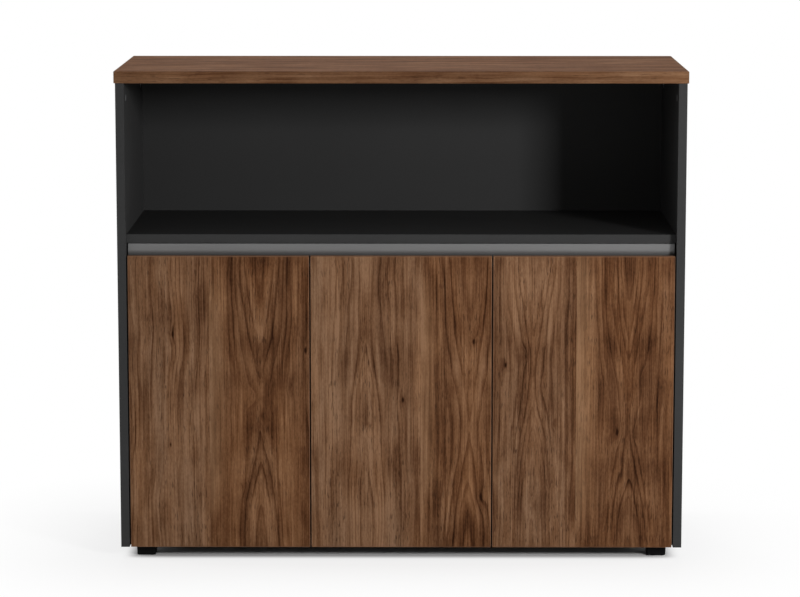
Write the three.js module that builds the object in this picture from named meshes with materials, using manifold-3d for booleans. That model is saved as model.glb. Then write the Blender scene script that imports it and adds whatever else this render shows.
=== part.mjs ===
// Office credenza: an open niche over three inset doors, on four short feet.
// Millimetres, +Z up, front facing -Y, origin on the floor under the middle of the case.
import * as THREE from 'three';
import { mergeVertices } from 'three/addons/utils/BufferGeometryUtils.js';
import Module from 'manifold-3d';

const wasm = await Module();
wasm.setup();

// Overall sizes and board thicknesses
const TOP_WIDTH = 1200;
const TOP_DEPTH = 450;
const TOP_THICK = 25;
const TOP_SIDE_OVERHANG = 3;
const BOARD = 18;
const BACK_THICK = 9;
const SIDE_HEIGHT = 990;
const NICHE_HEIGHT = 320;
const EASE = 1;

// Feet
const FOOT_HEIGHT = 25;
const FOOT_WIDTH = 42;
const FOOT_DRAFT = 1;
const FOOT_CHAMFER = 1.5;
const FOOT_CORNER = 4;
const FOOT_SIDE_INSET = 12;
const FOOT_FRONT_INSET = 30;
const FOOT_REAR_INSET = 30;

// Doors and the room kept round them
const DOOR_COUNT = 3;
const DOOR_THICK = 18;
const DOOR_GAP = 3;
const DOOR_OPENING = 26;
const SHELF_RECESS = 20;
const CARCASS_RECESS = 23;

// Back panel in its grooves
const BACK_SETBACK = 12;
const GROOVE_DEPTH = 6;
const GROOVE_PLAY = 0.5;

// Finger-pull profile under the niche shelf
const PULL_WALL = 1.5;
const PULL_FASCIA = 12.5;
const PULL_SHADOW_GAP = 2;
const PULL_SHADOW_DEPTH = 8;
const PULL_WEB_DROP = 7;
const PULL_FRONT_GAP = 0.5;
const PULL_END_GAP = 3;
const PULL_BEND_RADIUS = 18;
const PULL_BEND_SETBACK = 6.5;
const PULL_CHANNEL_DEPTH = 24;
const PULL_CHANNEL_DROP = 26;
const PULL_CORNER = 4;
const PULL_EDGE_CORNER = 1;
const PULL_FLANGE = 26;
const PULL_LIP_BACK = 5;
const PULL_LIP_RISE = 4;
const NOTCH_PLAY = 2;

// Adjustable shelves, their supports and the rows of support holes
const LOOSE_SHELF_CLEAR = 299;
const LOOSE_SHELF_SETBACK = 40;
const LOOSE_SHELF_BACK_PLAY = 3;
const LOOSE_SHELF_END_PLAY = 1;
const HOLE_PITCH = 32;
const HOLES_EACH_WAY = 3;
const HOLE_RADIUS = 2.5;
const HOLE_DEPTH = 8;
const HOLE_FRONT_INSET = 75;
const HOLE_REAR_INSET = 90;
const SHANK_PLAY = 0.3;
const PAD_LENGTH = 8;
const PAD_WIDTH = 7;
const PAD_HEIGHT = 5.5;

// Cam fittings that hold the top to the sides
const CAM_RADIUS = 7.5;
const CAM_DEPTH = 12.5;
const CAM_PLAY = 0.3;
const CAM_DROP = 34;
const CAM_INSET = 44;
const CAM_SLOT_LENGTH = 7.5;
const CAM_SLOT_WIDTH = 2.4;
const CAM_SLOT_DEPTH = 3;

// Concealed hinges, seen from above: u runs from the middle of the cup away from the wall,
// v from the door's inner face into the case. A link's pin and pivot are points in u and v,
// its knee is given along and square to the line between them, and travel is the pin's way in its slot.
const HINGE_INSET = 100;
const CUP_EDGE_DISTANCE = 4;
const CUP_BORE_RADIUS = 17.5;
const CUP_BORE_DEPTH = 12.8;
const CUP_PLAY = 0.3;
const CUP_WALL = 1.3;
const CUP_FLOOR = 1;
const FLANGE_THICK = 1.2;
const FLANGE_RADIUS = 20;
const FLANGE_WING_REACH = 24;
const FLANGE_WING_RADIUS = 7.5;
const SEAT_GAP = 0.3;
const INNER_LINK = { pin: [-10.2, -6.6], pivot: [11.1, 0], knee: [8.5, 4.9], travel: [-0.4, 1.9] };
const OUTER_LINK = { pin: [-10.6, -5.8], pivot: [21, 9.4], knee: [7, 4.9], travel: [-0.4, 2.1] };
const PIN_RADIUS = 0.9;
const PIN_SLOT_PLAY = 0.6;
const RIVET_RADIUS = 1.1;
const RIVET_PLAY = 0.3;
const LINK_HALF_WIDTH = 2;
const LINK_THICK = 4;
const LINK_GAP = 1.2;
const ARM_HALF_WIDTH = 7.5;
const ARM_WALL = 1.6;
const ARM_LIFT = 0.6;
const ARM_HEIGHT = 11.4;
const ARM_REAR = 62;
const ARM_BEND = 32;
const ARM_BEND_FRONT = 29;
const NOSE = { left: 5.5, right: 19.5, front: 7, rear: 14 };
const INNER_LOBE_RADIUS = 2.2;
const OUTER_LOBE_RADIUS = 3;
const PLATE_BASE = 2;
const PLATE_FRONT = 34;
const PLATE_HALF_WIDTH = 9.5;
const PLATE_WING_REACH = 22;
const PLATE_WING_WIDTH = 14;
const SADDLE_END = 2;

// How finely round forms are cut into flats, how near two points are one,
// and how far a cutter runs past the face that it opens
const BORE_SIDES = 24;
const DRUM_SIDES = 16;
const SMALL_SIDES = 8;
const ARC_STEPS = 4;
const BEND_STEPS = 8;
const WELD = 1e-4;
const OVERRUN = 1;
const POCKET_OVERRUN = 40;

// Levels and faces worked out from the sizes above; depths v are measured from the front
const Y_FRONT = -TOP_DEPTH / 2;
const Z_CASE = FOOT_HEIGHT;
const Z_CASE_TOP = Z_CASE + SIDE_HEIGHT;
const Z_NICHE = Z_CASE_TOP - NICHE_HEIGHT;
const Z_SHELF_UNDER = Z_NICHE - BOARD;
const Z_DOOR_TOP = Z_SHELF_UNDER - DOOR_OPENING;
const Z_BOTTOM_TOP = Z_CASE + BOARD;
const Z_LOOSE_UNDER = Z_BOTTOM_TOP + LOOSE_SHELF_CLEAR;
const X_OUTER = TOP_WIDTH / 2 - TOP_SIDE_OVERHANG;
const X_INNER = X_OUTER - BOARD;
const V_BACK = TOP_DEPTH - BACK_SETBACK - BACK_THICK;
const DOOR_WIDTH = (2 * X_INNER - (DOOR_COUNT + 1) * DOOR_GAP) / DOOR_COUNT;
const X_PARTITION = X_INNER - DOOR_GAP - DOOR_WIDTH - DOOR_GAP / 2;

const depthAt = (v) => Y_FRONT + v;
const span = (a, b) => [Math.min(a, b), Math.max(a, b)];

// Finishes
const finish = (color, roughness, metalness) => (
  new THREE.MeshStandardMaterial({ color, roughness, metalness })
);
const walnut = finish(0x69483a, 0.45, 0);
const graphite = finish(0x34363a, 0.55, 0);
const aluminium = finish(0x8e9196, 0.35, 0.9);
const nickel = finish(0xb4b4b0, 0.3, 1);
const zinc = finish(0x9c9ea0, 0.4, 1);
const blackPlastic = finish(0x17181a, 0.6, 0);

const credenza = new THREE.Group();

function place(name, geometry, material, parent = credenza) {
  const mesh = new THREE.Mesh(geometry, material);
  mesh.name = name;
  parent.add(mesh);
  return mesh;
}

// Booleans: a closed mesh becomes a solid, and the result becomes a mesh again

function toSolid(geometry) {
  const bare = geometry.clone();
  bare.deleteAttribute('normal');
  bare.deleteAttribute('uv');
  const welded = mergeVertices(bare, WELD);
  const corners = welded.index.array;
  const kept = [];
  for (let i = 0; i < corners.length; i += 3) {
    const [a, b, c] = [corners[i], corners[i + 1], corners[i + 2]];
    if (a !== b && b !== c && c !== a) {
      kept.push(a, b, c);
    }
  }
  return new wasm.Manifold(new wasm.Mesh({
    numProp: 3,
    vertProperties: new Float32Array(welded.attributes.position.array),
    triVerts: new Uint32Array(kept),
  }));
}

function toGeometry(solid) {
  const mesh = solid.getMesh();
  const geometry = new THREE.BufferGeometry();
  geometry.setAttribute('position', new THREE.BufferAttribute(mesh.vertProperties, 3));
  geometry.setIndex(new THREE.BufferAttribute(mesh.triVerts, 1));
  return geometry;
}

const join = (...shapes) => shapes.map(toSolid).reduce((sum, shape) => sum.add(shape));
const cut = (solid, cutters) => cutters.reduce((left, cutter) => left.subtract(toSolid(cutter)), solid);

// Shapes that the pieces share

function block([x0, x1], [y0, y1], [z0, z1]) {
  const geometry = new THREE.BoxGeometry(x1 - x0, y1 - y0, z1 - z0);
  return geometry.translate((x0 + x1) / 2, (y0 + y1) / 2, (z0 + z1) / 2);
}

const AXES = {
  x: new THREE.Vector3(1, 0, 0),
  y: new THREE.Vector3(0, 1, 0),
  z: new THREE.Vector3(0, 0, 1),
};
const turnedTo = (across, up, out) => (
  new THREE.Matrix4().makeBasis(AXES[across], AXES[up], AXES[out])
);

// A board whose two wide faces have eased edges; thin names the axis across its thickness
function easedBoard(spans, thin) {
  const [across, up] = { x: ['y', 'z'], y: ['z', 'x'], z: ['x', 'y'] }[thin];
  const [left, right] = [spans[across][0] + EASE, spans[across][1] - EASE];
  const [low, high] = [spans[up][0] + EASE, spans[up][1] - EASE];
  const geometry = new THREE.ExtrudeGeometry(polygon([[left, low], [right, low], [right, high], [left, high]]), {
    depth: spans[thin][1] - spans[thin][0] - 2 * EASE,
    bevelThickness: EASE,
    bevelSize: EASE,
    bevelSegments: 2,
  });
  return geometry.translate(0, 0, spans[thin][0] + EASE).applyMatrix4(turnedTo(across, up, thin));
}

function rodAlongX(radius, [x0, x1], y, z, sides) {
  const geometry = new THREE.CylinderGeometry(radius, radius, x1 - x0, sides);
  return geometry.rotateZ(Math.PI / 2).translate((x0 + x1) / 2, y, z);
}

function rodAlongY(radius, [y0, y1], x, z, sides) {
  const geometry = new THREE.CylinderGeometry(radius, radius, y1 - y0, sides);
  return geometry.translate(x, (y0 + y1) / 2, z);
}

function rodAlongZ(radius, [z0, z1], x, y, sides) {
  const geometry = new THREE.CylinderGeometry(radius, radius, z1 - z0, sides);
  return geometry.rotateX(Math.PI / 2).translate(x, y, (z0 + z1) / 2);
}

const polygon = (points) => new THREE.Shape(points.map(([x, y]) => new THREE.Vector2(x, y)));

function slab(shape, [z0, z1]) {
  const options = { depth: z1 - z0, bevelEnabled: false, curveSegments: ARC_STEPS };
  return new THREE.ExtrudeGeometry(shape, options).translate(0, 0, z0);
}

// A section drawn in depth and height, run along the length of the case
const slabAlongX = (shape, reach) => slab(shape, reach).applyMatrix4(turnedTo('y', 'z', 'x'));

// A bar with two round ends
function capsule([ax, ay], [bx, by], radius) {
  const heading = Math.atan2(by - ay, bx - ax);
  const quarter = Math.PI / 2;
  const shape = new THREE.Shape();
  shape.absarc(bx, by, radius, heading - quarter, heading + quarter, false);
  shape.absarc(ax, ay, radius, heading + quarter, heading + 3 * quarter, false);
  shape.closePath();
  return shape;
}

// A thin-walled section: a path given half its wall to each side, with mitred corners
function ribbon(path, wall, steps) {
  const points = path.getPoints(steps);
  const offset = (distance) => points.map((point, i) => {
    const before = points[Math.max(i - 1, 0)];
    const after = points[Math.min(i + 1, points.length - 1)];
    const into = point.clone().sub(before).normalize();
    const out = after.clone().sub(point).normalize();
    const along = into.clone().add(out).normalize();
    const stretch = distance / along.dot(i === 0 ? out : into);
    return [point.x - along.y * stretch, point.y + along.x * stretch];
  });
  return polygon([...offset(-wall / 2), ...offset(wall / 2).reverse()]);
}

// Case

function addTop() {
  const spans = {
    x: [-TOP_WIDTH / 2, TOP_WIDTH / 2],
    y: [Y_FRONT, Y_FRONT + TOP_DEPTH],
    z: [Z_CASE_TOP, Z_CASE_TOP + TOP_THICK],
  };
  place('top_panel', easedBoard(spans, 'z'), walnut);
}

const supportRows = [['front', depthAt(HOLE_FRONT_INSET)], ['rear', depthAt(V_BACK - HOLE_REAR_INSET)]];
const shankHeight = Z_LOOSE_UNDER - PAD_HEIGHT + HOLE_RADIUS;

// Rows of support holes in a wall face at x, the middle ones carrying the shelf;
// inward is the way from the wall into the compartment
function supportHoles(x, inward) {
  const reach = span(x - inward * HOLE_DEPTH, x + inward * OVERRUN);
  const holes = [];
  for (const [, y] of supportRows) {
    for (let step = -HOLES_EACH_WAY; step <= HOLES_EACH_WAY; step += 1) {
      holes.push(rodAlongX(HOLE_RADIUS, reach, y, shankHeight + step * HOLE_PITCH, SMALL_SIDES));
    }
  }
  return holes;
}

const camPlaces = [['front', depthAt(CAM_INSET)], ['rear', depthAt(V_BACK - CAM_INSET)]];
const camHeight = Z_CASE_TOP - CAM_DROP;

function addSide(name, inward) {
  const face = -inward * X_INNER;
  const past = face + inward * OVERRUN;
  const depth = [Y_FRONT, Y_FRONT + TOP_DEPTH];
  const board = block(span(face, -inward * X_OUTER), depth, [Z_CASE, Z_CASE_TOP]);
  const groove = block(
    span(face - inward * GROOVE_DEPTH, past),
    [depthAt(V_BACK), depthAt(V_BACK + BACK_THICK + GROOVE_PLAY)],
    [Z_CASE - OVERRUN, Z_CASE_TOP + OVERRUN],
  );
  const camReach = span(face - inward * (CAM_DEPTH + CAM_PLAY), past);
  const camBores = camPlaces.map(([, y]) => (
    rodAlongX(CAM_RADIUS + CAM_PLAY, camReach, y, camHeight, DRUM_SIDES)
  ));
  const solid = cut(toSolid(board), [groove, ...supportHoles(face, inward), ...camBores]);
  place(`${name}_side_panel`, toGeometry(solid), graphite);
  addCams(name, face, inward);
}

function addCams(name, face, inward) {
  const past = face + inward * OVERRUN;
  for (const [where, y] of camPlaces) {
    const drum = rodAlongX(CAM_RADIUS, span(face - inward * CAM_DEPTH, face), y, camHeight, DRUM_SIDES);
    const slot = block(
      span(face - inward * CAM_SLOT_DEPTH, past),
      [y - CAM_SLOT_LENGTH / 2, y + CAM_SLOT_LENGTH / 2],
      [camHeight - CAM_SLOT_WIDTH / 2, camHeight + CAM_SLOT_WIDTH / 2],
    );
    place(`${name}_${where}_cam`, toGeometry(cut(toSolid(drum), [slot])), zinc);
  }
}

function addFixedBoards() {
  const inside = [-X_INNER, X_INNER];
  const toBack = (v) => [depthAt(v), depthAt(V_BACK)];
  place('niche_shelf', block(inside, toBack(SHELF_RECESS), [Z_SHELF_UNDER, Z_NICHE]), graphite);
  place('bottom_panel', block(inside, toBack(CARCASS_RECESS), [Z_CASE, Z_BOTTOM_TOP]), graphite);
  const reach = X_INNER + GROOVE_DEPTH - GROOVE_PLAY;
  const depth = [depthAt(V_BACK), depthAt(V_BACK + BACK_THICK)];
  place('back_panel', block([-reach, reach], depth, [Z_CASE, Z_CASE_TOP]), graphite);
}

// Finger-pull profile

const pullFace = SHELF_RECESS + PULL_FRONT_GAP;
const pullFlangeEnd = pullFace + PULL_FLANGE;
const pullRear = pullFace + PULL_CHANNEL_DEPTH;
const pullTop = Z_SHELF_UNDER - PULL_SHADOW_GAP;
const pullBend = pullTop - PULL_FASCIA;
const pullFloor = Z_DOOR_TOP - PULL_CHANNEL_DROP;

// The middle line of the face that fingers meet: flat fascia, a bend back behind the doors, channel and lip
function pullFacePath() {
  const half = PULL_WALL / 2;
  const front = depthAt(pullFace + half);
  const rear = depthAt(pullRear - half);
  const lip = depthAt(CARCASS_RECESS + PULL_LIP_BACK + half);
  const floor = pullFloor + half;
  const turn = Math.acos(1 - PULL_BEND_SETBACK / PULL_BEND_RADIUS);
  const radius = PULL_BEND_RADIUS - half;
  const bendBack = front + radius * (1 - Math.cos(turn));
  const bendEnd = pullBend - radius * Math.sin(turn);
  const knee = bendEnd - (rear - bendBack) / Math.tan(turn);
  const corner = Math.min(PULL_CORNER, (knee - floor) / 2);
  const path = new THREE.Path();
  path.moveTo(front, pullTop);
  path.lineTo(front, pullBend);
  path.quadraticCurveTo(front, pullBend - radius * Math.tan(turn / 2), bendBack, bendEnd);
  path.lineTo(rear - corner * Math.sin(turn), knee + corner * Math.cos(turn));
  path.quadraticCurveTo(rear, knee, rear, knee - corner);
  path.lineTo(rear, floor + corner);
  path.quadraticCurveTo(rear, floor, rear - corner, floor);
  path.lineTo(lip + PULL_EDGE_CORNER, floor);
  path.quadraticCurveTo(lip, floor, lip, floor + PULL_EDGE_CORNER);
  path.lineTo(lip, floor + PULL_LIP_RISE);
  return path;
}

// The middle line of what carries it: flange under the shelf, then down behind the shadow gap to the fascia
function pullFlangePath() {
  const half = PULL_WALL / 2;
  const web = depthAt(pullFace + PULL_SHADOW_DEPTH + half);
  const flange = Z_SHELF_UNDER - half;
  const shoulder = pullTop - PULL_WEB_DROP;
  const path = new THREE.Path();
  path.moveTo(depthAt(pullFlangeEnd), flange);
  path.lineTo(web, flange);
  path.lineTo(web, shoulder);
  path.lineTo(depthAt(pullFace + half), shoulder);
  return path;
}

function addFingerPull() {
  const reach = X_INNER - PULL_END_GAP;
  const walls = [pullFacePath(), pullFlangePath()].map((path) => (
    slabAlongX(ribbon(path, PULL_WALL, BEND_STEPS), [-reach, reach])
  ));
  place('finger_pull_profile', toGeometry(join(...walls)), aluminium);
}

// The partition stands behind the gap between two doors, notched for the profile
function addPartition() {
  const front = depthAt(CARCASS_RECESS);
  const rear = depthAt(V_BACK);
  const notchBack = depthAt(Math.max(pullRear, pullFlangeEnd) + NOTCH_PLAY);
  const notchFloor = pullFloor - NOTCH_PLAY;
  const outline = polygon([
    [front, Z_BOTTOM_TOP],
    [rear, Z_BOTTOM_TOP],
    [rear, Z_SHELF_UNDER],
    [notchBack, Z_SHELF_UNDER],
    [notchBack, notchFloor],
    [front, notchFloor],
  ]);
  const [left, right] = [X_PARTITION - BOARD / 2, X_PARTITION + BOARD / 2];
  const holes = [...supportHoles(left, -1), ...supportHoles(right, 1)];
  const solid = cut(toSolid(slabAlongX(outline, [left, right])), holes);
  place('partition', toGeometry(solid), graphite);
}

// Feet

// A rounded square drawn from the middle out, as points at one height
function roundedSquare(half, radius, z) {
  const shape = new THREE.Shape();
  const inset = half - radius;
  for (const [x, y, quarter] of [[1, 1, 0], [-1, 1, 1], [-1, -1, 2], [1, -1, 3]]) {
    const start = quarter * Math.PI / 2;
    shape.absarc(x * inset, y * inset, radius, start, start + Math.PI / 2, false);
  }
  return shape.getPoints(ARC_STEPS).map((point) => [point.x, point.y, z]);
}

// A moulded foot: rounded squares stacked from the floor up, wider towards the case
function footGeometry() {
  const half = FOOT_WIDTH / 2;
  const rings = [
    roundedSquare(half - FOOT_DRAFT - FOOT_CHAMFER, FOOT_CORNER, 0),
    roundedSquare(half - FOOT_DRAFT, FOOT_CORNER, FOOT_CHAMFER),
    roundedSquare(half, FOOT_CORNER, FOOT_HEIGHT),
  ];
  const count = rings[0].length;
  const last = (rings.length - 1) * count;
  const faces = [];
  for (let a = 0; a < last; a += 1) {
    const b = (a + 1) % count === 0 ? a + 1 - count : a + 1;
    faces.push(a, b, b + count, a, b + count, a + count);
  }
  for (let i = 1; i + 1 < count; i += 1) {
    faces.push(0, i + 1, i, last, last + i, last + i + 1);
  }
  const geometry = new THREE.BufferGeometry();
  geometry.setAttribute('position', new THREE.Float32BufferAttribute(rings.flat(2), 3));
  geometry.setIndex(faces);
  return toGeometry(toSolid(geometry));
}

function addFeet() {
  const x = X_INNER - FOOT_SIDE_INSET - FOOT_WIDTH / 2;
  const front = depthAt(FOOT_FRONT_INSET + FOOT_WIDTH / 2);
  const rear = depthAt(TOP_DEPTH - FOOT_REAR_INSET - FOOT_WIDTH / 2);
  for (const [where, y] of [['front', front], ['rear', rear]]) {
    for (const [side, sign] of [['left', -1], ['right', 1]]) {
      place(`${where}_${side}_foot`, footGeometry(), blackPlastic).position.set(sign * x, y, 0);
    }
  }
}

// Adjustable shelves on their supports

function addLooseShelf(name, [left, right]) {
  const across = [left + LOOSE_SHELF_END_PLAY, right - LOOSE_SHELF_END_PLAY];
  const depth = [depthAt(LOOSE_SHELF_SETBACK), depthAt(V_BACK - LOOSE_SHELF_BACK_PLAY)];
  place(`${name}_shelf`, block(across, depth, [Z_LOOSE_UNDER, Z_LOOSE_UNDER + BOARD]), graphite);
  for (const [end, wall, inward] of [['left', left, 1], ['right', right, -1]]) {
    for (const [row, y] of supportRows) {
      const tip = wall + inward * PAD_LENGTH;
      const shankReach = span(wall - inward * (HOLE_DEPTH - SHANK_PLAY), tip);
      const shank = rodAlongX(HOLE_RADIUS - SHANK_PLAY, shankReach, y, shankHeight, SMALL_SIDES);
      const pad = block(
        span(wall + inward * SHANK_PLAY, tip),
        [y - PAD_WIDTH / 2, y + PAD_WIDTH / 2],
        [Z_LOOSE_UNDER - PAD_HEIGHT, Z_LOOSE_UNDER],
      );
      place(`${name}_shelf_${row}_${end}_support`, toGeometry(join(shank, pad)), zinc);
    }
  }
}

// Hinges: cup in the door, arm and plate on the wall, and the two links between them.
// Each hinge is drawn in its own group, with x as u, y as v and z up.

const cupOffset = DOOR_GAP + CUP_EDGE_DISTANCE + CUP_BORE_RADIUS;
const cupRadius = CUP_BORE_RADIUS - CUP_PLAY;
const cupInner = cupRadius - CUP_WALL;
const cupBottom = CUP_PLAY - CUP_BORE_DEPTH;
const cupInside = cupBottom + CUP_FLOOR;
const flangeTop = SEAT_GAP + FLANGE_THICK;
const linkLayers = {
  inner: [-LINK_GAP / 2 - LINK_THICK, -LINK_GAP / 2],
  outer: [LINK_GAP / 2, LINK_GAP / 2 + LINK_THICK],
};

function cupGeometry() {
  const profile = [
    [0, cupBottom],
    [cupRadius, cupBottom],
    [cupRadius, SEAT_GAP],
    [FLANGE_RADIUS, SEAT_GAP],
    [FLANGE_RADIUS, flangeTop],
    [cupInner, flangeTop],
    [cupInner, cupInside],
    [0, cupInside],
  ];
  const shell = new THREE.LatheGeometry(profile.map(([r, v]) => new THREE.Vector2(r, v)), BORE_SIDES);
  const wingEnds = [[0, -FLANGE_WING_REACH], [0, FLANGE_WING_REACH]];
  const wings = slab(capsule(...wingEnds, FLANGE_WING_RADIUS), [0, FLANGE_THICK]);
  wings.rotateX(-Math.PI / 2).translate(0, SEAT_GAP, 0);
  const mouth = rodAlongY(cupInner, [cupInside, flangeTop + OVERRUN], 0, 0, BORE_SIDES);
  const hollow = cut(join(shell, wings), [mouth]);
  const pinEnd = ([u]) => Math.sqrt(cupRadius ** 2 - u ** 2) - CUP_WALL / 2;
  const innerReach = [-pinEnd(INNER_LINK.pin), linkLayers.inner[1]];
  const outerReach = [linkLayers.outer[0], pinEnd(OUTER_LINK.pin)];
  const innerPin = rodAlongZ(PIN_RADIUS, innerReach, ...INNER_LINK.pin, SMALL_SIDES);
  const outerPin = rodAlongZ(PIN_RADIUS, outerReach, ...OUTER_LINK.pin, SMALL_SIDES);
  return toGeometry(hollow.add(toSolid(innerPin)).add(toSolid(outerPin)));
}

// A bent bar from its cup pin, over a knee, to its rivet on the arm; the pin runs in a short slot
function linkGeometry({ pin, pivot, knee, travel }, layer) {
  const [px, py] = pin;
  const length = Math.hypot(pivot[0] - px, pivot[1] - py);
  const along = [(pivot[0] - px) / length, (pivot[1] - py) / length];
  const at = (forward, out) => [
    px + along[0] * forward + along[1] * out,
    py + along[1] * forward - along[0] * out,
  ];
  const slotEnds = [at(travel[0], 0), at(travel[1], 0)];
  const bend = at(...knee);
  const bar = join(
    slab(capsule(...slotEnds, LINK_HALF_WIDTH), layer),
    slab(capsule(pin, bend, LINK_HALF_WIDTH), layer),
    slab(capsule(bend, pivot, LINK_HALF_WIDTH), layer),
  );
  const through = [layer[0] - OVERRUN, layer[1] + OVERRUN];
  return toGeometry(cut(bar, [
    slab(capsule(...slotEnds, PIN_RADIUS + PIN_SLOT_PLAY), through),
    rodAlongZ(RIVET_RADIUS + RIVET_PLAY, through, ...pivot, SMALL_SIDES),
  ]));
}

const armInside = ARM_HALF_WIDTH - ARM_WALL;

// The cranked arm: a channel of sheet steel whose open side faces the wall, with its two rivets
function armGeometry(wall) {
  const low = wall + PLATE_BASE + ARM_LIFT;
  const high = low + ARM_HEIGHT;
  const slope = (NOSE.rear - ARM_BEND) / (NOSE.right - high);
  const roof = NOSE.rear - ARM_WALL * Math.hypot(1, slope);
  const width = [-ARM_HALF_WIDTH, ARM_HALF_WIDTH];
  const body = polygon([
    [low, ARM_REAR],
    [low, ARM_BEND_FRONT],
    [NOSE.left, NOSE.front],
    [NOSE.right, NOSE.front],
    [NOSE.right, NOSE.rear],
    [high, ARM_BEND],
    [high, ARM_REAR],
  ]);
  const nose = [INNER_LINK.pivot[0], (NOSE.front + NOSE.rear) / 2];
  const blank = join(
    slab(body, width),
    slab(capsule(INNER_LINK.pivot, nose, INNER_LOBE_RADIUS), width),
    slab(capsule(OUTER_LINK.pivot, nose, OUTER_LOBE_RADIUS), width),
  );
  const ceiling = high - ARM_WALL;
  const near = wall - POCKET_OVERRUN;
  const far = OUTER_LINK.pivot[0] + POCKET_OVERRUN;
  const pocket = polygon([
    [ceiling, ARM_REAR + OVERRUN],
    [near, ARM_REAR + OVERRUN],
    [near, -POCKET_OVERRUN],
    [far, -POCKET_OVERRUN],
    [far, roof],
    [NOSE.right, roof],
    [ceiling, roof + slope * (ceiling - NOSE.right)],
  ]);
  const channel = cut(blank, [slab(pocket, [-armInside, armInside])]);
  const innerReach = [-ARM_HALF_WIDTH, linkLayers.inner[1]];
  const innerRivet = rodAlongZ(RIVET_RADIUS, innerReach, ...INNER_LINK.pivot, SMALL_SIDES);
  const outerRivet = rodAlongZ(RIVET_RADIUS, width, ...OUTER_LINK.pivot, SMALL_SIDES);
  return toGeometry(channel.add(toSolid(innerRivet)).add(toSolid(outerRivet)));
}

// The mounting plate: a winged base screwed to the wall, with the saddle that the arm slides over
function plateGeometry(wall) {
  const rest = wall + SEAT_GAP;
  const top = wall + PLATE_BASE;
  const saddleTop = top + ARM_LIFT + ARM_HEIGHT - ARM_WALL - SEAT_GAP;
  const saddleHalf = armInside - SEAT_GAP;
  const middle = (PLATE_FRONT + ARM_REAR) / 2;
  const wingSides = [middle - PLATE_WING_WIDTH / 2, middle + PLATE_WING_WIDTH / 2];
  const saddleEnds = [PLATE_FRONT + SADDLE_END, ARM_REAR - SADDLE_END];
  return toGeometry(join(
    block([rest, top], [PLATE_FRONT, ARM_REAR], [-PLATE_HALF_WIDTH, PLATE_HALF_WIDTH]),
    block([rest, top], wingSides, [-PLATE_WING_REACH, PLATE_WING_REACH]),
    block([rest, saddleTop], saddleEnds, [-saddleHalf, saddleHalf]),
  ));
}

const hingeHeights = [['lower', Z_CASE + HINGE_INSET], ['upper', Z_DOOR_TOP - HINGE_INSET]];

// A door with its two hinges. edge is the x of its hinge edge, inward the way from there to its free
// edge, and wall the x of the face that carries the hinges.
function addDoor(name, edge, inward, wall) {
  const spans = {
    x: span(edge, edge + inward * DOOR_WIDTH),
    y: [Y_FRONT, depthAt(DOOR_THICK)],
    z: [Z_CASE, Z_DOOR_TOP],
  };
  const cupX = edge + inward * (cupOffset - DOOR_GAP);
  const boreReach = [depthAt(DOOR_THICK - CUP_BORE_DEPTH), depthAt(DOOR_THICK + OVERRUN)];
  const bores = hingeHeights.map(([, z]) => rodAlongY(CUP_BORE_RADIUS, boreReach, cupX, z, BORE_SIDES));
  place(`${name}_door`, toGeometry(cut(toSolid(easedBoard(spans, 'y')), bores)), walnut);
  const wallU = inward * (wall - cupX);
  for (const [level, z] of hingeHeights) {
    const hinge = new THREE.Group();
    hinge.position.set(cupX, depthAt(DOOR_THICK), z);
    hinge.rotation.y = inward > 0 ? 0 : Math.PI;
    credenza.add(hinge);
    const label = `${name}_${level}`;
    place(`${label}_hinge_cup`, cupGeometry(), nickel, hinge);
    place(`${label}_inner_link`, linkGeometry(INNER_LINK, linkLayers.inner), nickel, hinge);
    place(`${label}_outer_link`, linkGeometry(OUTER_LINK, linkLayers.outer), nickel, hinge);
    place(`${label}_hinge_arm`, armGeometry(wallU), nickel, hinge);
    place(`${label}_mounting_plate`, plateGeometry(wallU), nickel, hinge);
  }
}

const [partitionLeft, partitionRight] = [X_PARTITION - BOARD / 2, X_PARTITION + BOARD / 2];

addTop();
addSide('left', 1);
addSide('right', -1);
addFixedBoards();
addFingerPull();
addPartition();
addFeet();
addLooseShelf('wide', [-X_INNER, partitionLeft]);
addLooseShelf('narrow', [partitionRight, X_INNER]);
addDoor('left', -X_INNER + DOOR_GAP, 1, -X_INNER);
addDoor('middle', X_PARTITION - DOOR_GAP / 2, -1, partitionLeft);
addDoor('right', X_INNER - DOOR_GAP, -1, X_INNER);

export default credenza;
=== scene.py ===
# %% [markdown]
# An office credenza in walnut and graphite. The boards, doors, hinges and fittings already exist as solids
# at their real size. This lesson dresses them: it gives every board and fitting its finish, adds the small
# screws, and sets up a plain studio with a camera. Lengths are in metres, +Z is up and the front faces -Y.

# %% Load the model as a fixed frame
import math
from collections import namedtuple

import bmesh
import bpy
from mathutils import Matrix, Vector


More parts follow.
